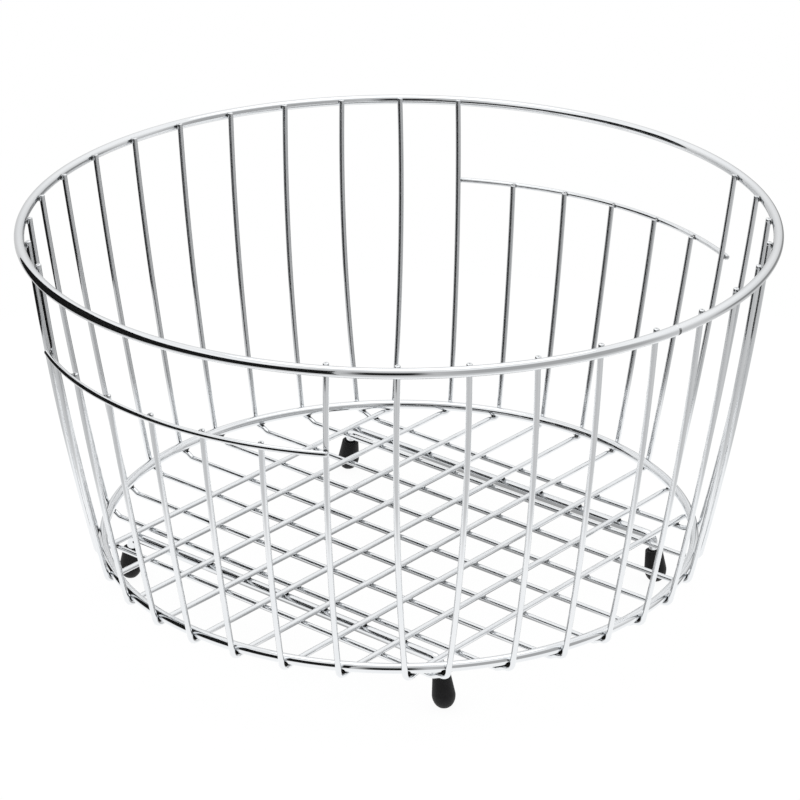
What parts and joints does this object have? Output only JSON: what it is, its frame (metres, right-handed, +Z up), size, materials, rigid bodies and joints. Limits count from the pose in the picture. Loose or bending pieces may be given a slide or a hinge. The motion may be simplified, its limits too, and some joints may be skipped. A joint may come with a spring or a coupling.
{
  "type": "wire sink basket",
  "caption": "Round welded wire basket for a sink, with tapered ribbed sides, two lowered hand openings, a square wire mesh base and capped rail feet.",
  "frame": {"origin": "on the floor under the middle of the rim, between the four foot soles", "axes": "+Z up; the two hand openings face -X and +X; the foot rails run along Y, so -Y is the front"},
  "size_m": [0.374, 0.374, 0.1993],
  "materials": {
    "thick_wire": "bright chrome plate on 5 mm steel wire",
    "thin_wire": "bright chrome plate on 2.8 mm steel wire",
    "foot_rubber": "matt black moulded rubber"
  },
  "bodies": {
    "root": {"rim_ring": "thick_wire", "bottom_ring": "thick_wire", "lower_wire_1": "thin_wire", "lower_wire_2": "thin_wire", "lower_wire_3": "thin_wire", "lower_wire_4": "thin_wire", "lower_wire_5": "thin_wire", "lower_wire_6": "thin_wire", "lower_wire_7": "thin_wire", "lower_wire_8": "thin_wire", "lower_wire_9": "thin_wire", "upper_wire_1": "thin_wire", "upper_wire_2": "thin_wire", "upper_wire_3": "thin_wire", "upper_wire_4": "thin_wire", "upper_wire_5": "thin_wire", "upper_wire_6": "thin_wire", "upper_wire_7": "thin_wire", "upper_wire_8": "thin_wire", "upper_wire_9": "thin_wire", "handle_arc_left": "thin_wire", "handle_arc_right": "thin_wire", "foot_rail_left": "thick_wire", "foot_rail_right": "thick_wire", "foot_front_left": "foot_rubber", "foot_front_right": "foot_rubber", "foot_back_left": "foot_rubber", "foot_back_right": "foot_rubber"}
  },
  "joints": []
}
